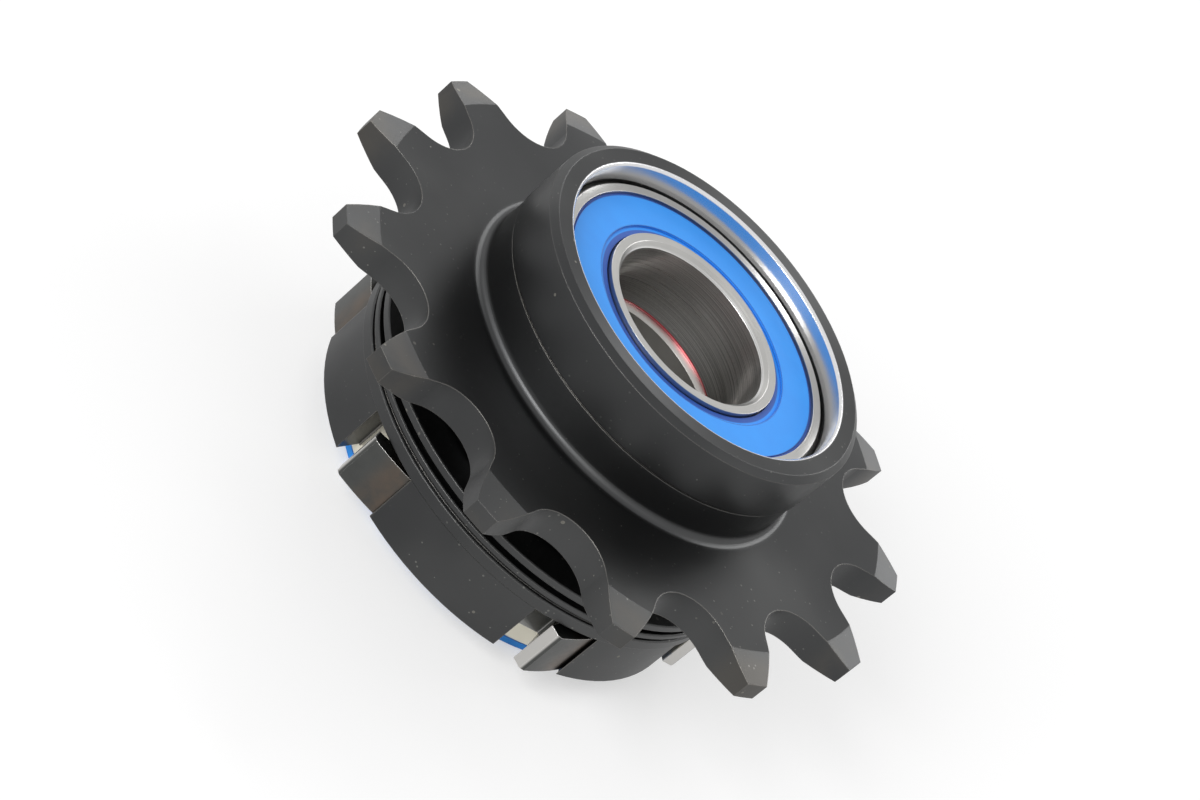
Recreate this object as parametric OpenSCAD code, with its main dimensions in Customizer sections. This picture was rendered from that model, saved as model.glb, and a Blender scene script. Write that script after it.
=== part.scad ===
/* [Cog] */
// Number of teeth
tooth_count = 13; // [12:1:16]
// Chain pitch
chain_pitch = 12.7; // [12.5:0.05:12.9]
// Diameter of the chain's rollers
roller_d = 7.75; // [7.5:0.05:7.95]
// Room round a roller in its seat
seat_clearance = 0.06; // [0.02:0.01:0.15]
// Half of the angle that a roller seat wraps round its roller
seat_half_angle = 65; // [60:1:70]
// Radius of the rounded tooth flanks
flank_r = 15.5; // [13:0.5:18]
// Height of the tooth tips over the pitch circle
tip_rise = 2.55; // [2.2:0.05:2.7]
// Thickness of the cog
cog_t = 2.9; // [2.6:0.1:3.2]
// Width of the turned bevel at the tooth tips
tip_bevel_w = 2.8; // [2:0.05:3.2]
// Depth of the outboard tip bevel at the tips
front_bevel_h = 0.65; // [0.3:0.05:0.8]
// Depth of the inboard tip bevel at the tips
back_bevel_h = 0.55; // [0.2:0.05:0.8]

/* [Collar] */
// Height of the collar over the cog's face
collar_h = 8.7; // [8:0.1:10]
// Wall of the collar round its bearing
collar_wall = 2.2; // [1.6:0.1:3]
// Width of the bevel on the collar's outer edge
collar_edge_w = 0.6; // [0.3:0.05:0.9]
// Depth of the bevel on the collar's outer edge
collar_edge_h = 0.47; // [0.3:0.01:0.7]
// Chamfer at the mouth of the collar
mouth_chamfer = 0.2; // [0.1:0.05:0.4]
// Depth of the outer bearing under the collar's face
bearing_recess = 1.85; // [1.2:0.05:2.4]
// Height of the ground band at the collar's foot
band_h = 3.63; // [3:0.01:4.5]
// Step from the collar down to the ground band
band_step = 0.12; // [0.05:0.01:0.25]
// Width of the fine line over the ground band
band_line_w = 0.18; // [0.1:0.02:0.3]
// Fillet between the collar and the cog's face
foot_fillet = 0.85; // [0.5:0.05:1.2]

/* [Neck and labyrinth rings] */
// Height of the neck between the cog and the rings
neck_h = 4.6; // [4:0.1:6]
// Diameter of the neck between the cog and the rings
neck_d = 31; // [29:0.5:34]
// Fillet at both ends of the neck
neck_fillet = 0.5; // [0.2:0.05:0.8]
// Step from the pawl carrier up to the rings
ring_step = 0.4; // [0.2:0.05:0.8]
// Height of the ring next to the neck
top_ring_h = 0.8; // [0.6:0.05:1.2]
// Height of the ring in the middle
mid_ring_h = 0.6; // [0.4:0.05:1]
// Height of the ring next to the pawl carrier
base_ring_h = 1.2; // [0.9:0.05:1.8]
// Width of the labyrinth groove
deep_groove_h = 0.5; // [0.4:0.05:0.8]
// Depth of the labyrinth groove
deep_groove_d = 1.1; // [0.8:0.05:1.4]
// Width of the fine groove
fine_groove_h = 0.3; // [0.2:0.05:0.5]
// Depth of the fine groove
fine_groove_d = 0.35; // [0.2:0.05:0.6]
// Chamfer on the rings' edges
ring_edge = 0.12; // [0.05:0.01:0.18]

/* [Pawl carrier] */
// Height of the pawl carrier
carrier_h = 5.4; // [5:0.1:7]
// Wall of the pawl carrier round its bearing
carrier_wall = 2.9; // [2.7:0.05:3.4]
// Chamfer on the carrier's inboard edge
carrier_edge = 0.1; // [0.05:0.05:0.4]
// Angle from the X axis to the first pawl's pivot
pawl_turn = 11.6; // [0:0.1:60]
// Angle that every second pawl is set on, so that two sets of three catch in turn
set_lead = 3; // [0:0.5:5]
// Land between a pawl pocket and the rings
pocket_land = 0.1; // [0.05:0.05:0.3]

/* [Pawls] */
// Length of a pawl from its pivot to its tip
pawl_l = 4.15; // [3.8:0.05:4.4]
// Distance from the carrier's end to a pawl
pawl_inset = 0.3; // [0.1:0.05:0.6]
// Diameter of a pawl's round root
root_d = 2.5; // [2.3:0.05:2.6]
// Depth of a pawl's pivot under the carrier's surface
pivot_depth = 1.15; // [1.1:0.01:1.2]
// Thickness of a pawl at its tip
pawl_tip_t = 1.2; // [0.9:0.05:1.3]
// Bevel on a pawl's tip
pawl_bevel = 0.25; // [0.1:0.05:0.4]
// Angle that a pawl is raised by
raise_angle = 24; // [16:1:26]

/* [Pawl springs] */
// Thickness of a leaf spring
leaf_t = 0.25; // [0.2:0.01:0.3]
// Width of a leaf spring along the axle
leaf_w = 3; // [2:0.1:3.8]
// Radius on the outside of a leaf spring's bend
bend_r = 0.35; // [0.31:0.01:0.4]
// Length of a leaf spring's lower leg
leaf_foot_l = 2.2; // [1.6:0.1:2.6]

/* [Outer bearing] */
// Diameter of the axle
axle_d = 15; // [14:0.5:16]
// Outside diameter of the outer bearing
outer_od = 28; // [27.4:0.1:29]
// Width of the outer bearing
outer_w = 7; // [6.6:0.1:7.4]
// Diameter of the outer bearing's balls
outer_ball_d = 3.5; // [3.2:0.1:3.6]
// Number of balls in the outer bearing
outer_balls = 12; // [8:1:13]
// Wall of the outer bearing's inner ring at its seals
outer_land = 1.15; // [0.9:0.05:1.3]

/* [Inner bearing] */
// Outside diameter of the inner bearing
inner_od = 32; // [31.4:0.1:33]
// Width of the inner bearing
inner_w = 9; // [8.8:0.1:9.6]
// Diameter of the inner bearing's balls
inner_ball_d = 4.76; // [4.4:0.02:4.9]
// Number of balls in the inner bearing
inner_balls = 9; // [7:1:11]
// Wall of the inner bearing's inner ring at its seals
inner_land = 1.9; // [1.6:0.05:2.1]
// Distance that the inner bearing stands out of the carrier
bearing_proud = 1.3; // [0.8:0.05:1.8]
// Distance that the inboard seal stands out of its outer ring
seal_proud = 0.75; // [0.4:0.05:1]
// Distance that the inner ring stands out past the inboard seal
inner_ring_proud = 0.1; // [0.05:0.05:0.3]

/* [Bearing details] */
// Chamfer on the outer rings' outside edges
outer_ring_edge = 0.5; // [0.3:0.05:0.7]
// Chamfer at the bores of the inner rings and the spacer
bore_chamfer = 0.42; // [0.3:0.02:0.5]
// Wall of an outer ring at its seals
seal_seat_wall = 1.26; // [1.1:0.02:1.4]
// Height of the ball tracks' shoulders over the track floors
track_depth = 0.5; // [0.4:0.05:0.7]
// Ratio of a track's radius to its ball's diameter
track_ratio = 0.52; // [0.51:0.005:0.54]
// Thickness of a seal
seal_t = 0.8; // [0.6:0.05:0.9]
// Depth of a seal under its bearing's face
seal_recess = 0.2; // [0.1:0.05:0.3]
// Width of the sunk lip at a seal's inner edge
lip_w = 0.8; // [0.5:0.05:1]
// Depth of the sunk lip under the seal's face
lip_drop = 0.22; // [0.1:0.02:0.3]
// Width of the sunk rim at a seal's outer edge
rim_w = 0.22; // [0.1:0.02:0.4]
// Depth of the sunk rim under the seal's face
rim_drop = 0.1; // [0.05:0.01:0.2]
// Share of a ball's diameter that the cage is thick
cage_share = 0.38; // [0.3:0.01:0.42]
// Web of a cage over its balls
cage_web = 0.45; // [0.3:0.05:0.5]

/* [Spacer] */
// Wall of the spacer between the inner rings
spacer_wall = 1.5; // [1:0.1:2]

/* [Clearances] */
// Radial gap of a ring in its seat
press_gap = 0.01; // [0.005:0.005:0.02]
// Gap between a ball and its tracks
ball_gap = 0.02; // [0.01:0.005:0.04]
// Gap between a ball and its cage
cage_gap = 0.1; // [0.05:0.01:0.15]
// Gap between a seal's lip and the inner ring
seal_gap = 0.1; // [0.05:0.01:0.2]
// Gap between a pawl's side and the inner wall of its pocket
pawl_side_gap = 0.3; // [0.1:0.05:0.5]
// Room in a pawl's pocket past its tip
pocket_room = 1.6; // [1:0.05:2]
// Gap round a pawl's root in its socket
pivot_gap = 0.05; // [0.03:0.01:0.08]
// Distance that a pressed-in pawl lies under the carrier's surface
flush_gap = 0.1; // [0.05:0.01:0.2]
// Gap between a leaf spring and what it touches
leaf_gap = 0.03; // [0.02:0.01:0.06]
// Gap between the spacer's bore and the axle
spacer_gap = 0.05; // [0.02:0.01:0.1]

/* [Hidden] */
$fn = 96;

// Length by which a cut runs past the face it opens
over = 1;
// Pawls in both sets together
pawl_count = 6;
pawl_step = 360 / pawl_count;
// Directions of an arc's ends as seen from its centre, in a section or a plan
up_way = 90;
left_way = 180;
down_way = 270;

// Radii
axle_r = axle_d / 2;
outer_seat_r = outer_od / 2;
inner_seat_r = inner_od / 2;
collar_r = outer_seat_r + collar_wall;
band_r = collar_r - band_step;
carrier_r = inner_seat_r + carrier_wall;
ring_r = carrier_r + ring_step;
neck_r = neck_d / 2;
pitch_r = chain_pitch / 2 / sin(180 / tooth_count);
tip_r = pitch_r + tip_rise;
seat_r = roller_d / 2 + seat_clearance;
spacer_r = axle_r + spacer_gap;
// Room inside the body between the bearings, clear of both cages and of the spacer
middle_r = outer_seat_r - seal_seat_wall - outer_ring_edge;

// Heights, from the inboard end of the inner bearing's inner ring
inner_ring_reach = seal_proud + inner_ring_proud;
inner_bearing_z = inner_ring_reach;
inner_top_z = inner_bearing_z + inner_w;
carrier_z = inner_bearing_z + bearing_proud;
base_ring_z = carrier_z + carrier_h;
fine_groove_z = base_ring_z + base_ring_h;
mid_ring_z = fine_groove_z + fine_groove_h;
deep_groove_z = mid_ring_z + mid_ring_h;
top_ring_z = deep_groove_z + deep_groove_h;
neck_z = top_ring_z + top_ring_h;
cog_z = neck_z + neck_h;
collar_z = cog_z + cog_t;
face_z = collar_z + collar_h;
outer_top_z = face_z - bearing_recess;
outer_bearing_z = outer_top_z - outer_w;
band_line_z = collar_z + band_h;

// Ball circles
outer_pitch_r = (axle_r + outer_seat_r) / 2;
inner_pitch_r = (axle_r + inner_seat_r) / 2;

// Pawls
pivot_r = carrier_r - pivot_depth;
root_r = root_d / 2;
socket_r = root_r + pivot_gap;
pressed_r = carrier_r - flush_gap;
pawl_z = carrier_z + pawl_inset;
pocket_top_z = base_ring_z - pocket_land;
pocket_l = pawl_l + pocket_room;
pawl_w = pocket_top_z - pawl_side_gap - pawl_z;

// Angle from the X axis to the pivot of pawl i, where the even pawls make up the second set
function pawl_angle(i) = pawl_turn + (i - 1) * pawl_step + (i % 2 == 0 ? set_lead : 0);

// Quarter-round points of a fillet with its centre at c, from angle a to angle b
function arc(c, r, a, b, steps = 8) =
    [for (i = [0:steps]) c + r * [cos(a + (b - a) * i / steps), sin(a + (b - a) * i / steps)]];

// A point turned by angle a about the point c
function turned(p, c, a) =
    let (d = p - c) c + [d.x * cos(a) - d.y * sin(a), d.x * sin(a) + d.y * cos(a)];

// Half section of one labyrinth ring, from its lower edge to its upper edge
function ring_points(z, h) = [
    [ring_r - ring_edge, z], [ring_r, z + ring_edge],
    [ring_r, z + h - ring_edge], [ring_r - ring_edge, z + h]
];

// Half section of the whole turned body
function body_points() = concat(
    [
        [inner_seat_r, carrier_z],
        [carrier_r - carrier_edge, carrier_z],
        [carrier_r, carrier_z + carrier_edge],
        [carrier_r, base_ring_z]
    ],
    ring_points(base_ring_z, base_ring_h),
    [
        [ring_r - fine_groove_d, fine_groove_z],
        [ring_r - fine_groove_d, mid_ring_z]
    ],
    ring_points(mid_ring_z, mid_ring_h),
    [
        [ring_r - deep_groove_d, deep_groove_z],
        [ring_r - deep_groove_d, top_ring_z]
    ],
    ring_points(top_ring_z, top_ring_h),
    arc([neck_r + neck_fillet, neck_z + neck_fillet], neck_fillet, down_way, left_way),
    arc([neck_r + neck_fillet, cog_z - neck_fillet], neck_fillet, left_way, up_way),
    [
        [tip_r - tip_bevel_w, cog_z],
        [tip_r, cog_z + back_bevel_h],
        [tip_r, collar_z - front_bevel_h],
        [tip_r - tip_bevel_w, collar_z]
    ],
    arc([band_r + foot_fillet, collar_z + foot_fillet], foot_fillet, down_way, left_way),
    [
        [band_r, band_line_z],
        [band_r - band_step, band_line_z],
        [band_r - band_step, band_line_z + band_line_w],
        [collar_r, band_line_z + band_line_w],
        [collar_r, face_z - collar_edge_h],
        [collar_r - collar_edge_w, face_z],
        [outer_seat_r + mouth_chamfer, face_z],
        [outer_seat_r, face_z - mouth_chamfer],
        [outer_seat_r, outer_bearing_z],
        [middle_r, outer_bearing_z],
        [middle_r, inner_top_z],
        [inner_seat_r, inner_top_z]
    ]
);

// Outline of one tooth gap on the X axis: a roller seat that opens out between two round flanks
module tooth_gap() {
    toward_flank = [-cos(seat_half_angle), sin(seat_half_angle)];
    seat_end = [pitch_r, 0] + seat_r * toward_flank;
    flank_centre = [pitch_r, 0] + (seat_r + flank_r) * toward_flank;
    mouth_x = tip_r + over;
    mouth_y = flank_centre.y - sqrt(pow(flank_r, 2) - pow(mouth_x - flank_centre.x, 2)) + over;
    translate([pitch_r, 0]) circle(r = seat_r);
    difference() {
        polygon([
            seat_end, [mouth_x, mouth_y],
            [mouth_x, -mouth_y], [seat_end.x, -seat_end.y]
        ]);
        for (side = [-1, 1])
            translate([flank_centre.x, side * flank_centre.y]) circle(r = flank_r);
    }
}

// Outline of one pawl pocket: a round socket for the root and a slot with square sides
module pocket_outline() {
    translate([pivot_r, 0]) circle(r = socket_r);
    translate([inner_seat_r - over, -pocket_l])
        square([carrier_wall + 2 * over, pocket_l]);
}

module driver_body() {
    color("#2b2b2c")
    difference() {
        rotate_extrude() polygon(body_points());
        for (i = [0:tooth_count - 1])
            rotate([0, 0, 270 + 360 * (i + 0.5) / tooth_count])
                translate([0, 0, cog_z - over])
                    linear_extrude(cog_t + 2 * over) tooth_gap();
        for (i = [1:pawl_count])
            rotate([0, 0, pawl_angle(i)])
                translate([0, 0, carrier_z - over])
                    linear_extrude(pocket_top_z - carrier_z + over) pocket_outline();
    }
}

// Groove that a row of balls runs in, about a circle of radius r
module ball_track(r, z, ball_d) {
    translate([0, 0, z])
        rotate_extrude() translate([r, 0]) circle(r = track_ratio * ball_d, $fn = 64);
}

// Outer ring with its lower face at z
module outer_ring(od, w, ball_d, pitch, z) {
    r = od / 2 - press_gap;
    seal_r = od / 2 - seal_seat_wall;
    seal_h = seal_recess + seal_t;
    floor_r = pitch + ball_d / 2 + ball_gap;
    color("#c9c7c0")
    difference() {
        rotate_extrude() polygon([
            [seal_r, z], [r - outer_ring_edge, z], [r, z + outer_ring_edge],
            [r, z + w - outer_ring_edge], [r - outer_ring_edge, z + w],
            [seal_r, z + w], [seal_r, z + w - seal_h], [floor_r - track_depth, z + w - seal_h],
            [floor_r - track_depth, z + seal_h], [seal_r, z + seal_h]
        ]);
        ball_track(floor_r - track_ratio * ball_d, z + w / 2, ball_d);
    }
}

// Inner ring with its bearing's lower face at z, which reaches below that face by reach
module inner_ring(w, ball_d, pitch, land, z, reach) {
    land_r = axle_r + land;
    seal_h = seal_recess + seal_t + seal_gap;
    floor_r = pitch - ball_d / 2 - ball_gap;
    shoulder_r = floor_r + track_depth;
    color("#c9c7c0")
    difference() {
        rotate_extrude() polygon([
            [axle_r + bore_chamfer, z - reach], [land_r - press_gap, z - reach],
            [land_r, z - reach + press_gap], [land_r, z + seal_h], [shoulder_r, z + seal_h],
            [shoulder_r, z + w - seal_h], [land_r, z + w - seal_h],
            [land_r, z + w], [axle_r + bore_chamfer, z + w],
            [axle_r, z + w - bore_chamfer], [axle_r, z - reach + bore_chamfer]
        ]);
        ball_track(floor_r + track_ratio * ball_d, z + w / 2, ball_d);
    }
}

module ball_row(count, ball_d, pitch, z) {
    color("#d8d8d8")
    for (i = [0:count - 1])
        rotate([0, 0, i * 360 / count]) translate([pitch, 0, z]) sphere(d = ball_d, $fn = 48);
}

// Crown cage: a ring over the balls with fingers between them
module cage(count, ball_d, pitch, z) {
    half_t = cage_share * ball_d / 2;
    window_r = ball_d / 2 + cage_gap;
    top_h = sqrt(pow(window_r, 2) - pow(half_t, 2)) + cage_web;
    foot_h = cage_share * ball_d / 2;
    color("#d9d2bd")
    difference() {
        rotate_extrude()
            translate([pitch - half_t, z - foot_h]) square([2 * half_t, foot_h + top_h]);
        for (i = [0:count - 1])
            rotate([0, 0, i * 360 / count]) translate([pitch, 0, z]) sphere(r = window_r, $fn = 48);
    }
}

// Half section of a seal whose bearing face is at height 0 and which lies below it
function seal_points(od, land) =
    let (r = od / 2 - seal_seat_wall - press_gap, lip_r = axle_r + land + seal_gap)
    [
        [lip_r, -seal_recess - seal_t], [r, -seal_recess - seal_t],
        [r, -seal_recess - rim_drop], [r - rim_w, -seal_recess - rim_drop],
        [r - rim_w, -seal_recess], [lip_r + lip_w, -seal_recess],
        [lip_r + lip_w, -seal_recess - lip_drop], [lip_r, -seal_recess - lip_drop]
    ];

module seal(od, land) {
    color("#2f8fe8") rotate_extrude() polygon(seal_points(od, land));
}

// The inboard seal, which stands out over its outer ring's face
module proud_seal() {
    seat_wall_r = inner_seat_r - seal_seat_wall - press_gap;
    flange_r = inner_seat_r - outer_ring_edge - press_gap;
    lip_r = axle_r + inner_land + seal_gap;
    color("#2f8fe8")
    rotate_extrude() polygon([
        [lip_r, inner_bearing_z + seal_recess + seal_t],
        [seat_wall_r, inner_bearing_z + seal_recess + seal_t],
        [seat_wall_r, inner_bearing_z - press_gap],
        [flange_r, inner_bearing_z - press_gap],
        [flange_r, inner_bearing_z - seal_proud + rim_drop],
        [flange_r - rim_w, inner_bearing_z - seal_proud],
        [lip_r + lip_w, inner_bearing_z - seal_proud],
        [lip_r + lip_w, inner_bearing_z - seal_proud + lip_drop],
        [lip_r, inner_bearing_z - seal_proud + lip_drop]
    ]);
}

module outer_bearing_outer_ring() {
    outer_ring(outer_od, outer_w, outer_ball_d, outer_pitch_r, outer_bearing_z);
}

module outer_bearing_inner_ring() {
    inner_ring(outer_w, outer_ball_d, outer_pitch_r, outer_land, outer_bearing_z, 0);
}

module outer_bearing_balls() {
    ball_row(outer_balls, outer_ball_d, outer_pitch_r, outer_bearing_z + outer_w / 2);
}

module outer_bearing_cage() {
    cage(outer_balls, outer_ball_d, outer_pitch_r, outer_bearing_z + outer_w / 2);
}

module outer_bearing_outboard_seal() {
    translate([0, 0, outer_top_z]) seal(outer_od, outer_land);
}

module outer_bearing_inboard_seal() {
    translate([0, 0, outer_bearing_z]) mirror([0, 0, 1]) seal(outer_od, outer_land);
}

module bearing_spacer() {
    top_z = outer_bearing_z;
    color("#8f8e8a")
    rotate_extrude() polygon([
        [spacer_r + bore_chamfer, inner_top_z], [axle_r + spacer_wall, inner_top_z],
        [axle_r + spacer_wall, top_z], [spacer_r + bore_chamfer, top_z],
        [spacer_r, top_z - bore_chamfer], [spacer_r, inner_top_z + bore_chamfer]
    ]);
}

module inner_bearing_outer_ring() {
    outer_ring(inner_od, inner_w, inner_ball_d, inner_pitch_r, inner_bearing_z);
}

module inner_bearing_inner_ring() {
    inner_ring(inner_w, inner_ball_d, inner_pitch_r, inner_land, inner_bearing_z, inner_ring_reach);
}

module inner_bearing_balls() {
    ball_row(inner_balls, inner_ball_d, inner_pitch_r, inner_bearing_z + inner_w / 2);
}

module inner_bearing_cage() {
    cage(inner_balls, inner_ball_d, inner_pitch_r, inner_bearing_z + inner_w / 2);
}

module inner_bearing_outboard_seal() {
    translate([0, 0, inner_top_z]) seal(inner_od, inner_land);
}

module inner_bearing_inboard_seal() {
    proud_seal();
}

// Share of the root's radius at which the line of a pawl's underside passes its pivot
under_share = 0.8;
// Corners of a pressed-in pawl with its pivot on the X axis
pawl_tip_x = sqrt(pow(pressed_r, 2) - pow(pawl_l, 2));
pawl_under_tip = [pawl_tip_x - pawl_tip_t, -pawl_l];
pawl_under_root = [pivot_r - under_share * root_r, 0];
bevel_start = [pawl_tip_x - pawl_bevel, -pawl_l];
bevel_run = pressed_r + over - bevel_start.x;

// A pressed-in pawl: a round root and a plate that ends in a bevelled tip
module flush_pawl() {
    intersection() {
        union() {
            translate([pivot_r, 0, 0]) cylinder(r = root_r, h = pawl_w);
            linear_extrude(pawl_w) polygon([
                [pressed_r + over, 0], bevel_start + [bevel_run, bevel_run],
                bevel_start, pawl_under_tip, pawl_under_root
            ]);
        }
        cylinder(r = pressed_r, h = pawl_w);
    }
}

module pawl(i) {
    color("#8d8c88")
    rotate([0, 0, pawl_angle(i)])
        translate([pivot_r, 0, pawl_z]) rotate([0, 0, raise_angle])
            translate([-pivot_r, 0, 0]) flush_pawl();
}

// Leaf spring under a raised pawl: a foot on the bearing, a bend and a leg up to the pawl
leaf_r = inner_seat_r + leaf_gap;
foot_turn = -asin((root_r + bend_r + leaf_foot_l / 2) / inner_seat_r);
bend_centre = turned([leaf_r + bend_r, leaf_foot_l / 2], [0, 0], foot_turn);
bend_middle_r = bend_r - leaf_t / 2;
lift_root = turned(pawl_under_root, [pivot_r, 0], raise_angle);
lift_tip = turned(pawl_under_tip, [pivot_r, 0], raise_angle);
lift_along = (lift_tip - lift_root) / norm(lift_tip - lift_root);
// Share of the pawl's underside at which the leaf touches it
touch_share = 0.72;
touch_point = lift_root + touch_share * (lift_tip - lift_root)
    + (leaf_t / 2 + leaf_gap) * [lift_along.y, -lift_along.x];
leg = touch_point - bend_centre;
leg_turn = atan2(leg.y, leg.x) - asin(bend_middle_r / norm(leg));
leg_run = sqrt(pow(norm(leg), 2) - pow(bend_middle_r, 2)) * [cos(leg_turn), sin(leg_turn)];
leg_side = [-sin(leg_turn), cos(leg_turn)];

function leaf_points() = concat(
    [turned([leaf_r, -leaf_foot_l / 2], [0, 0], foot_turn)],
    arc(bend_centre, bend_r, left_way + foot_turn, up_way + leg_turn),
    [
        bend_centre + leg_run + bend_r * leg_side,
        bend_centre + leg_run + (bend_r - leaf_t) * leg_side
    ],
    arc(bend_centre, bend_r - leaf_t, up_way + leg_turn, left_way + foot_turn),
    [turned([leaf_r + leaf_t, -leaf_foot_l / 2], [0, 0], foot_turn)]
);

module pawl_spring(i) {
    color("#b8b8b4")
    rotate([0, 0, pawl_angle(i)])
        translate([0, 0, pawl_z + (pawl_w - leaf_w) / 2]) linear_extrude(leaf_w) polygon(leaf_points());
}

driver_body();
outer_bearing_outer_ring();
outer_bearing_inner_ring();
outer_bearing_balls();
outer_bearing_cage();
outer_bearing_outboard_seal();
outer_bearing_inboard_seal();
bearing_spacer();
inner_bearing_outer_ring();
inner_bearing_inner_ring();
inner_bearing_balls();
inner_bearing_cage();
inner_bearing_outboard_seal();
inner_bearing_inboard_seal();
pawl(1);  // pawl_1
pawl(2);  // pawl_2
pawl(3);  // pawl_3
pawl(4);  // pawl_4
pawl(5);  // pawl_5
pawl(6);  // pawl_6
pawl_spring(1);  // pawl_spring_1
pawl_spring(2);  // pawl_spring_2
pawl_spring(3);  // pawl_spring_3
pawl_spring(4);  // pawl_spring_4
pawl_spring(5);  // pawl_spring_5
pawl_spring(6);  // pawl_spring_6
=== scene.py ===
import math
import bmesh
import bpy
from mathutils import Matrix, Vector

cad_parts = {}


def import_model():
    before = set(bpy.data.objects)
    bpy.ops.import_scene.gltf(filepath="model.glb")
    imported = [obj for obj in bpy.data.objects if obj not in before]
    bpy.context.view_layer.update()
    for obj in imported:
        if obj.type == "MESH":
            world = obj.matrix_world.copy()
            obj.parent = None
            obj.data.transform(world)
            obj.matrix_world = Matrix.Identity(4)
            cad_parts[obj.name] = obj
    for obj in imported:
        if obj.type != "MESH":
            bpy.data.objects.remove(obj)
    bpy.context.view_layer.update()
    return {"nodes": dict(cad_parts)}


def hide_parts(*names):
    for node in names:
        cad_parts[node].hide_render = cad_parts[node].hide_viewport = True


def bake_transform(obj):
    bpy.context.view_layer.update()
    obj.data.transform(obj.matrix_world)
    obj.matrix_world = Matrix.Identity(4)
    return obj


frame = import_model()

MM = 0.001
NODES = frame["nodes"]

# Sizes of the part that its materials follow, in metres from its axis and its inboard end
BEVEL_R = 26.28 * MM
MOUTH_R = 14.2 * MM
MOUTH_Z = 25.3 * MM
AXLE_R = 7.5 * MM
OUTSIDE_R = 15.9 * MM
BORE_EXIT_Z = 18.3 * MM
SEAL_LIP_R = 8.95 * MM
SEAL_RIM_R = 12.62 * MM

# The pawls: the first one's angle, the step from each to the next, the lead of the second
# set, and how far their pivots lie from the axis and their ground tips from the pivots
PAWL_COUNT = 6
PAWL_TURN = 11.6
PAWL_STEP = 60.0
SET_LEAD = 3.0
PIVOT_R = 17.75 * MM
TIP_REACH = 4.0 * MM

# A leaf spring's foot, as an angle from its pawl, the number of cuts across the spring, and the
# distance within which its points are merged
FOOT_TURN = -9.7
LEAF_CUTS = 14
WELD = 0.001 * MM

# Colours, each as red, green, blue and 1
COAT_DARK, COAT_LIGHT = (0.052, 0.053, 0.054, 1), (0.078, 0.079, 0.079, 1)
COAT_BROWN, COAT_WORN = (0.115, 0.103, 0.086, 1), (0.30, 0.285, 0.26, 1)
DUST, GRIT = (0.30, 0.29, 0.26, 1), (0.26, 0.26, 0.24, 1)
BARE_STEEL = (0.70, 0.70, 0.71, 1)
RING_DARK, RING_LIGHT = (0.37, 0.367, 0.357, 1), (0.49, 0.484, 0.466, 1)
# Cream painted on the rings' polished outside as a reflection
CREAM_PAINTED_REFLECTION = (0.90, 0.86, 0.72, 1)
BORE_DARK, BORE_LIGHT = (0.38, 0.38, 0.375, 1), (0.76, 0.755, 0.74, 1)
# Red painted on a bearing's bore chamfer as a reflection
RED_PAINTED_REFLECTION = (0.70, 0.03, 0.06, 1)
BLUE_DARK, BLUE_LIGHT = (0.016, 0.27, 0.86, 1), (0.030, 0.34, 0.96, 1)
BLUE_EDGE, BLUE_LIP = (0.010, 0.030, 0.30, 1), (0.014, 0.050, 0.32, 1)
PAWL_DARK, PAWL_LIGHT = (0.060, 0.062, 0.060, 1), (0.095, 0.097, 0.094, 1)
PAWL_ROOT, PAWL_TIP = (0.136, 0.097, 0.070, 1), (0.52, 0.51, 0.49, 1)
PAWL_EDGE, STEEL_EDGE = (0.95, 0.94, 0.91, 1), (0.95, 0.93, 0.90, 1)
BALL_DARK, BALL_LIGHT = (0.75, 0.75, 0.75, 1), (0.8, 0.8, 0.8, 1)
SPACER_DARK, SPACER_LIGHT = (0.32, 0.31, 0.29, 1), (0.46, 0.45, 0.43, 1)
# The springs' steel is darkened as painted shade, for springs that sit in the pawl pockets
SPRING_SHADED_DARK, SPRING_SHADED_LIGHT = (0.22, 0.22, 0.21, 1), (0.34, 0.34, 0.33, 1)
NYLON_DARK, NYLON_LIGHT = (0.60, 0.54, 0.42, 1), (0.70, 0.64, 0.52, 1)

# Noise scales that several materials share, and the samples of a rounded edge
GRAIN = 9000.0
SATIN = 2500.0
BEVEL_SAMPLES = 6

# Each soft lamp: its place in metres, size and power. All of them face one point of the part
LAMPS = {
    "key": ((-0.36, -0.70, 0.44), 0.50, 6.5),
    "left_window": ((-0.42, 0.79, 0.46), 0.40, 2.0),
    "right_window": ((0.44, 0.79, 0.46), 0.40, 2.4),
}
LAMP_TARGET = Vector((0, 0, 0.015))

# Levels of the world and of the floor's grey, as light and where they are seen
WORLD_LIGHT, WORLD_SEEN = 0.45, 1.0
FLOOR_LIGHT, FLOOR_SEEN = 0.80, 0.55
FLOOR_GLOW = 0.50
FLOOR_SIZE = 6.0

# The camera as fitted to the photo: lens and sensor in mm, its place in metres and two axes
LENS = 133.85
SENSOR_WIDTH = 36.0
CLIP_START, CLIP_END = 0.01, 10.0
CAMERA_PLACE = Vector((-0.00710, -0.30722, 0.19595))
CAMERA_RIGHT = Vector((0.65667, 0.37311, 0.6554))
CAMERA_UP = Vector((-0.75398, 0.34706, 0.5578))


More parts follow.
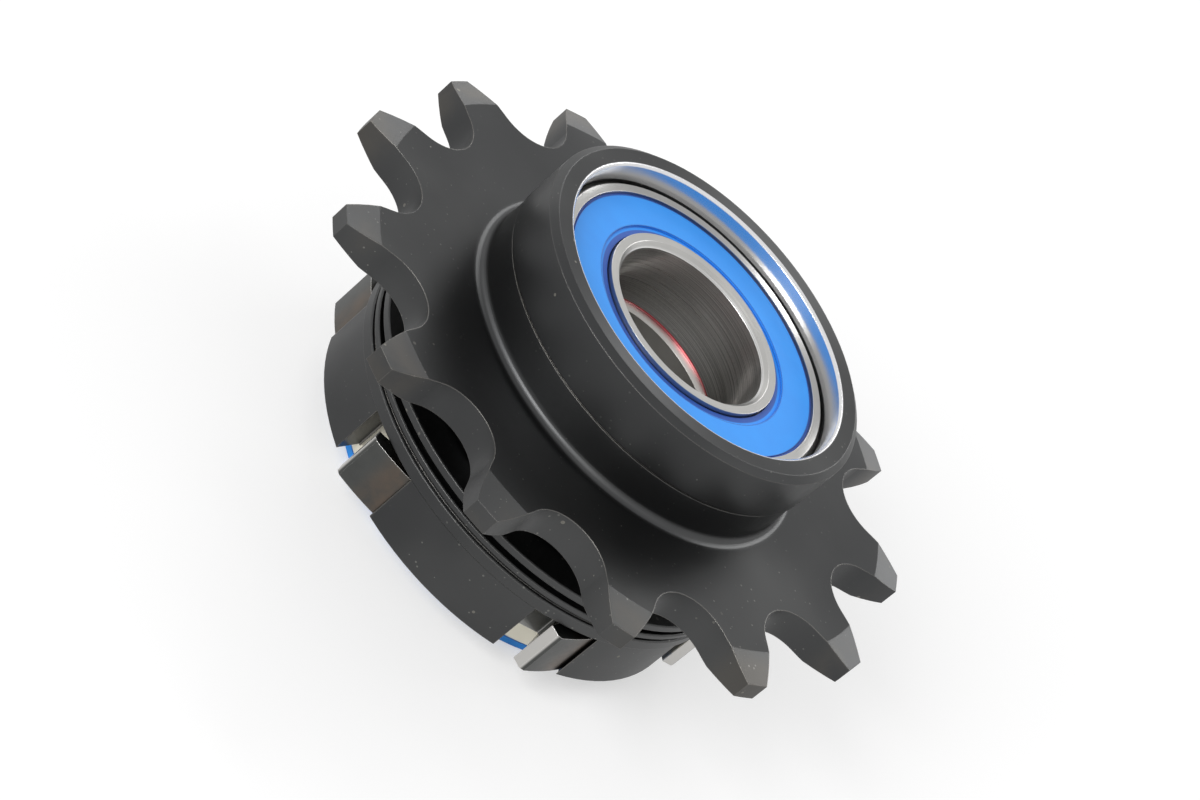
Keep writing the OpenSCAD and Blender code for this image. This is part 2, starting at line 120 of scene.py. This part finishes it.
class Tree:
    """Short calls that add and join shader nodes."""

    def __init__(self, name, world=False):
        if world:
            self.owner = bpy.data.worlds.new(name)
        else:
            self.owner = bpy.data.materials.new(name)
        self.owner.use_nodes = True
        self.nodes = self.owner.node_tree.nodes
        self.links = self.owner.node_tree.links
        self.nodes.clear()
        kind = "ShaderNodeOutputWorld" if world else "ShaderNodeOutputMaterial"
        self.out = self.nodes.new(kind)
        self.memo = {}

    def put(self, socket, value):
        if isinstance(value, bpy.types.NodeSocket):
            self.links.new(value, socket)
        elif value is not None:
            socket.default_value = value

    def add(self, kind, inputs=None, **props):
        node = self.nodes.new("ShaderNode" + kind)
        for key, value in props.items():
            setattr(node, key, value)
        for key, value in (inputs or {}).items():
            self.put(node.inputs[key], value)
        return node

    def math(self, op, a, b=None):
        node = self.add("Math", operation=op)
        self.put(node.inputs[0], a)
        self.put(node.inputs[1], b)
        return node.outputs[0]

    def step(self, value, low, high):
        """0 below low and 1 above high, or the other way round where low is larger."""
        swap = low > high
        node = self.add("MapRange", {
            "Value": value,
            "From Min": high if swap else low,
            "From Max": low if swap else high,
            "To Min": 1.0 if swap else 0.0,
            "To Max": 0.0 if swap else 1.0,
        }, interpolation_type="SMOOTHSTEP")
        return node.outputs[0]

    def band(self, value, centre, half, soft):
        """1 within half of centre, falling to 0 over soft."""
        away = self.math("ABSOLUTE", self.math("SUBTRACT", value, centre))
        return self.step(away, half + soft, half)

    def mul(self, a, b):
        return self.math("MULTIPLY", a, b)

    def mix(self, factor, a, b):
        """Colour a where factor is 0, and colour b where it is 1."""
        node = self.add("Mix", {0: factor, 6: a, 7: b}, data_type="RGBA")
        return node.outputs[2]

    def lerp(self, factor, a, b):
        """Value a where factor is 0, and value b where it is 1."""
        node = self.add("Mix", {0: factor, 2: a, 3: b}, data_type="FLOAT")
        return node.outputs[0]

    def cover(self, base, colour, mask, share):
        """The base with a share of a colour laid over it where the mask is 1."""
        return self.mix(self.mul(mask, share), base, colour)

    def place(self):
        """The point on the part, in metres."""
        if "place" not in self.memo:
            self.memo["place"] = self.add("TexCoord").outputs["Object"]
        return self.memo["place"]

    def length(self, x, y):
        flat = self.add("CombineXYZ", {0: x, 1: y}).outputs[0]
        return self.add("VectorMath", {0: flat}, operation="LENGTH").outputs["Value"]

    def polar(self):
        """Radius, angle in turns and height of the point."""
        if "polar" not in self.memo:
            x, y, z = self.add("SeparateXYZ", {0: self.place()}).outputs
            angle = self.math("DIVIDE", self.math("ARCTAN2", y, x), 2 * math.pi)
            self.memo["polar"] = (self.length(x, y), angle, z)
        return self.memo["polar"]

    def noise(self, scale, detail=3.0, rough=0.55, vector=None):
        node = self.add("TexNoise", {"Vector": vector or self.place(), "Scale": scale,
                                     "Detail": detail, "Roughness": rough})
        return node.outputs["Fac"]

    def streaks(self, around, along, seed=0.0):
        """Noise drawn out round the axis: fine over height and radius, long over angle."""
        r, angle, z = self.polar()
        turned = self.add("CombineXYZ", {
            0: self.mul(angle, around),
            1: self.mul(r, along),
            2: self.math("ADD", self.mul(z, along), seed),
        })
        return self.noise(1.0, detail=4.0, rough=0.6, vector=turned.outputs[0])

    def specks(self, scale, size, chance, seed=0.0):
        """Small round dots, on a share of the cells of a grid."""
        shifted = self.add("VectorMath", {0: self.place(), 1: (seed, seed, seed)},
                           operation="ADD")
        cells = self.add("TexVoronoi", {"Vector": shifted.outputs[0], "Scale": scale,
                                        "Randomness": 1.0})
        pick, big, _ = self.add("SeparateColor", {0: cells.outputs["Color"]}).outputs
        dot = self.math("LESS_THAN", cells.outputs["Distance"], self.mul(big, size))
        return self.mul(dot, self.math("LESS_THAN", pick, chance))

    def rounded(self, radius):
        """The surface's normal with sharp edges rounded off."""
        return self.add("Bevel", {"Radius": radius}, samples=BEVEL_SAMPLES).outputs[0]

    def edges(self, radius, low=0.04, high=0.25):
        """1 at sharp edges, by how far a rounded normal leans from the surface's own."""
        own = self.add("NewGeometry").outputs["Normal"]
        lean = self.add("VectorMath", {0: self.rounded(radius), 1: own},
                        operation="DOT_PRODUCT")
        return self.step(self.math("SUBTRACT", 1.0, lean.outputs["Value"]), low, high)

    def bump(self, height, depth, radius=None):
        """A relief of a depth, over edges rounded off by a radius."""
        normal = self.rounded(radius) if radius else None
        node = self.add("Bump", {"Height": height, "Distance": depth, "Strength": 1.0,
                                 "Normal": normal})
        return node.outputs[0]

    def surface(self, **inputs):
        shader = self.add("BsdfPrincipled")
        for key, value in inputs.items():
            self.put(shader.inputs[key.replace("_", " ")], value)
        self.links.new(shader.outputs[0], self.out.inputs["Surface"])
        return self.owner


def black_steel():
    """The driver's black coat, with dust, worn edges and marks of turning."""
    t = Tree("black_steel")
    r, _, z = t.polar()
    soft = t.noise(160.0, detail=4.0)
    cloud = t.noise(45.0)
    base = t.mix(t.step(cloud, 0.35, 0.7), COAT_DARK, COAT_LIGHT)
    # Brown patches over the tips' bevels
    tip = t.step(r, BEVEL_R - 0.6 * MM, BEVEL_R + 1.6 * MM)
    base = t.cover(base, COAT_BROWN, t.mul(tip, t.step(soft, 0.35, 0.65)), 0.35)
    dusty = t.step(t.noise(70.0, detail=2.0), 0.42, 0.6)
    dust = t.mul(t.specks(900.0, size=0.16, chance=0.32), dusty)
    base = t.cover(base, DUST, dust, 0.8)
    grit = t.specks(2600.0, size=0.24, chance=0.2, seed=0.4)
    base = t.cover(base, GRIT, t.mul(grit, t.step(cloud, 0.35, 0.6)), 0.5)
    worn = t.mul(t.edges(0.16 * MM), t.step(soft, 0.25, 0.6))
    base = t.cover(base, COAT_WORN, worn, 0.55)
    # Bare turned steel on the wall of the collar's mouth
    mouth = t.mul(t.step(r, MOUTH_R + 0.1 * MM, MOUTH_R),
                  t.step(z, MOUTH_Z - 0.1 * MM, MOUTH_Z))
    base = t.mix(mouth, base, BARE_STEEL)
    rough = t.math("ADD", t.lerp(soft, 0.31, 0.42), t.mul(dust, 0.3))
    grain = t.mul(t.noise(GRAIN, detail=2.0), 0.6)
    turned = t.mul(t.streaks(around=3.0, along=GRAIN), 0.4)
    around = t.add("Tangent", direction_type="RADIAL", axis="Z").outputs[0]
    return t.surface(Base_Color=base, Metallic=t.lerp(mouth, 0.97, 1.0),
                     Roughness=t.lerp(mouth, rough, 0.24), Anisotropic=0.85, Tangent=around,
                     Normal=t.bump(t.math("ADD", grain, turned), 0.004 * MM, 0.12 * MM))


def bearing_steel():
    """Bright turned rings, with a scratched bore and a polished outside with a painted cream
    reflection.
    """
    t = Tree("bearing_steel")
    r, _, z = t.polar()
    base = t.mix(t.noise(220.0), RING_DARK, RING_LIGHT)
    # The outside, seen in the pawl pockets, is polished, with a painted cream reflection and less
    # metal
    outside = t.step(r, OUTSIDE_R - 0.2 * MM, OUTSIDE_R)
    base = t.mix(outside, base, CREAM_PAINTED_REFLECTION)
    # The bore is darker, with scratches round it
    bore = t.step(r, AXLE_R + 0.2 * MM, AXLE_R + 0.05 * MM)
    ground = t.step(t.streaks(around=3.0, along=22000.0, seed=7.0), 0.35, 0.65)
    base = t.mix(bore, base, t.mix(ground, BORE_DARK, BORE_LIGHT))
    # A painted red reflection on the chamfer where the outer bearing's bore ends
    red = t.mul(t.band(z, BORE_EXIT_Z + 0.15 * MM, half=0.3 * MM, soft=0.1 * MM),
                t.step(r, AXLE_R + 0.6 * MM, AXLE_R + 0.5 * MM))
    base = t.mix(red, base, RED_PAINTED_REFLECTION)
    rough = t.lerp(t.streaks(around=5.0, along=5000.0, seed=3.0), 0.22, 0.38)
    turned = t.streaks(around=2.0, along=14000.0)
    return t.surface(Base_Color=base, Metallic=t.lerp(outside, 1.0, 0.4), Roughness=rough,
                     Normal=t.bump(turned, 0.0015 * MM, 0.08 * MM))


def blue_rubber():
    """The seals' rubber, darker at edges, at the lip and along the rim."""
    t = Tree("blue_rubber")
    r, _, _ = t.polar()
    cloud = t.noise(300.0, detail=4.0)
    base = t.mix(cloud, BLUE_DARK, BLUE_LIGHT)
    base = t.cover(base, BLUE_EDGE, t.edges(0.25 * MM, low=0.02, high=0.2), 0.8)
    lip = t.band(r, SEAL_LIP_R, half=0.22 * MM, soft=0.12 * MM)
    rim = t.band(r, SEAL_RIM_R, half=0.1 * MM, soft=0.1 * MM)
    base = t.cover(base, BLUE_LIP, t.math("MAXIMUM", lip, rim), 0.85)
    return t.surface(Base_Color=base, Roughness=t.lerp(cloud, 0.48, 0.6),
                     Normal=t.bump(t.noise(6000.0, detail=2.0), 0.004 * MM, 0.08 * MM))


def nylon():
    t = Tree("cage_nylon")
    base = t.mix(t.noise(500.0), NYLON_DARK, NYLON_LIGHT)
    return t.surface(Base_Color=base, Roughness=0.45,
                     Normal=t.bump(t.noise(4000.0, detail=2.0), 0.004 * MM))


def satin(t, base, edge, share, low, high, depth=0.003 * MM):
    """Metal with a fine grain, rough from low to high, and with bright edges."""
    base = t.cover(base, edge, t.edges(0.1 * MM), share)
    return t.surface(Base_Color=base, Metallic=1.0, Roughness=t.lerp(t.noise(SATIN), low, high),
                     Normal=t.bump(t.noise(GRAIN, detail=2.0), depth, 0.06 * MM))


def plain_steel(name, dark, light, low, high, **relief):
    t = Tree(name)
    base = t.mix(t.noise(400.0, detail=4.0), dark, light)
    return satin(t, base, STEEL_EDGE, 0.7, low, high, **relief)


def pawl_angle(i):
    lead = SET_LEAD if i % 2 == 0 else 0.0
    return math.radians(PAWL_TURN + PAWL_STEP * (i - 1) + lead)


def pawl_steel(i):
    """Satin steel, brown towards the root and ground bright along the tip."""
    t = Tree(f"pawl_steel_{i}")
    turn = pawl_angle(i)
    pivot = (PIVOT_R * math.cos(turn), PIVOT_R * math.sin(turn), 0.0)
    away = t.add("VectorMath", {0: t.place(), 1: pivot}, operation="SUBTRACT").outputs[0]
    x, y, _ = t.add("SeparateXYZ", {0: away}).outputs
    reach = t.length(x, y)
    cloud = t.noise(500.0, detail=4.0)
    base = t.mix(cloud, PAWL_DARK, PAWL_LIGHT)
    root = t.mul(t.step(reach, 3.0 * MM, 1.3 * MM), t.step(cloud, 0.2, 0.7))
    base = t.cover(base, PAWL_ROOT, root, 0.6)
    base = t.mix(t.step(reach, TIP_REACH, TIP_REACH + 0.15 * MM), base, PAWL_TIP)
    return satin(t, base, PAWL_EDGE, 0.8, 0.28, 0.42)


def seen_directly(t):
    """1 for rays from the camera, and for those that metal and glass send on."""
    path = t.add("LightPath")
    seen = t.math("MAXIMUM", path.outputs["Is Camera Ray"], path.outputs["Is Glossy Ray"])
    return t.math("MAXIMUM", seen, path.outputs["Is Transmission Ray"])


def floor_material():
    """Pale floor that looks white and keeps the part's shadow."""
    t = Tree("floor")
    seen = seen_directly(t)
    level = t.lerp(seen, FLOOR_LIGHT, FLOOR_SEEN)
    grey = t.add("CombineColor", {0: level, 1: level, 2: level})
    diffuse = t.add("BsdfDiffuse", {"Color": grey.outputs[0]})
    emission = t.add("Emission", {"Strength": t.mul(seen, FLOOR_GLOW)})
    both = t.add("AddShader", {0: diffuse.outputs[0], 1: emission.outputs[0]})
    t.links.new(both.outputs[0], t.out.inputs["Surface"])
    return t.owner


def world():
    """White where it is seen, also in reflections, and dimmer as light."""
    t = Tree("studio", world=True)
    level = t.lerp(seen_directly(t), WORLD_LIGHT, WORLD_SEEN)
    back = t.add("Background", {"Color": (1, 1, 1, 1), "Strength": level})
    t.links.new(back.outputs[0], t.out.inputs["Surface"])
    bpy.context.scene.world = t.owner


def put_in_scene(name, data):
    thing = bpy.data.objects.new(name, data)
    bpy.context.scene.collection.objects.link(thing)
    return thing


def area_light(name, place, size, power):
    data = bpy.data.lights.new(name, "AREA")
    data.shape = "DISK"
    data.size = size
    data.energy = power
    lamp = put_in_scene(name, data)
    lamp.location = place
    lamp.rotation_euler = (LAMP_TARGET - Vector(place)).to_track_quat("-Z", "Y").to_euler()


def camera():
    data = bpy.data.cameras.new("camera")
    data.sensor_width = SENSOR_WIDTH
    data.lens = LENS
    data.clip_start = CLIP_START
    data.clip_end = CLIP_END
    cam = put_in_scene("camera", data)
    axes = (CAMERA_RIGHT, CAMERA_UP, CAMERA_RIGHT.cross(CAMERA_UP))
    turn = Matrix(axes).transposed().to_4x4()
    cam.matrix_world = Matrix.Translation(CAMERA_PLACE) @ turn
    bpy.context.scene.camera = cam


def floor():
    bpy.ops.mesh.primitive_plane_add(size=FLOOR_SIZE)
    plane = bpy.context.object
    plane.name = "floor"
    plane.data.materials.append(floor_material())


def paint(names, material):
    for name in names:
        for slot in NODES[name].material_slots:
            slot.link = "OBJECT"
            slot.material = material


def leaf_spring(i, finish):
    """The spring under a pawl, with its solid's shape, cut across into strips in place of the
    hidden solid.
    """
    turn = pawl_angle(i) + math.radians(FOOT_TURN)
    along = Vector((-math.sin(turn), math.cos(turn), 0.0))
    solid = NODES[f"pawl_spring_{i}"]
    form = bmesh.new()
    form.from_mesh(solid.data)
    form.transform(solid.matrix_world)
    bmesh.ops.remove_doubles(form, verts=form.verts[:], dist=WELD)
    places = [v.co.dot(along) for v in form.verts]
    first, last = min(places), max(places)
    for k in range(1, LEAF_CUTS):
        at = first + (last - first) * k / LEAF_CUTS
        bmesh.ops.bisect_plane(form, geom=form.verts[:] + form.edges[:] + form.faces[:],
                               plane_co=along * at, plane_no=along)
    data = bpy.data.meshes.new(f"leaf_spring_{i}")
    form.to_mesh(data)
    form.free()
    data.materials.append(finish)
    piece = put_in_scene(f"leaf_spring_{i}", data)
    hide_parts(f"pawl_spring_{i}")
    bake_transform(piece)


def materials():
    both = ("outer_bearing", "inner_bearing")
    paint(["driver_body"], black_steel())
    paint([f"{b}_{side}_ring" for b in both for side in ("outer", "inner")], bearing_steel())
    paint([f"{b}_{side}_seal" for b in both for side in ("outboard", "inboard")], blue_rubber())
    paint([f"{b}_balls" for b in both],
          plain_steel("ball_steel", BALL_DARK, BALL_LIGHT, 0.06, 0.12, depth=0.0005 * MM))
    paint([f"{b}_cage" for b in both], nylon())
    paint(["bearing_spacer"],
          plain_steel("spacer_steel", SPACER_DARK, SPACER_LIGHT, 0.25, 0.45))
    # The springs' steel is darker as painted shade
    spring = plain_steel("spring_steel", SPRING_SHADED_DARK, SPRING_SHADED_LIGHT, 0.25, 0.35)
    for i in range(1, PAWL_COUNT + 1):
        paint([f"pawl_{i}"], pawl_steel(i))
        leaf_spring(i, spring)


camera()
world()
floor()
for name, (place, size, power) in LAMPS.items():
    area_light(name, place, size, power)
materials()

bpy.context.scene.view_settings.view_transform = "Standard"
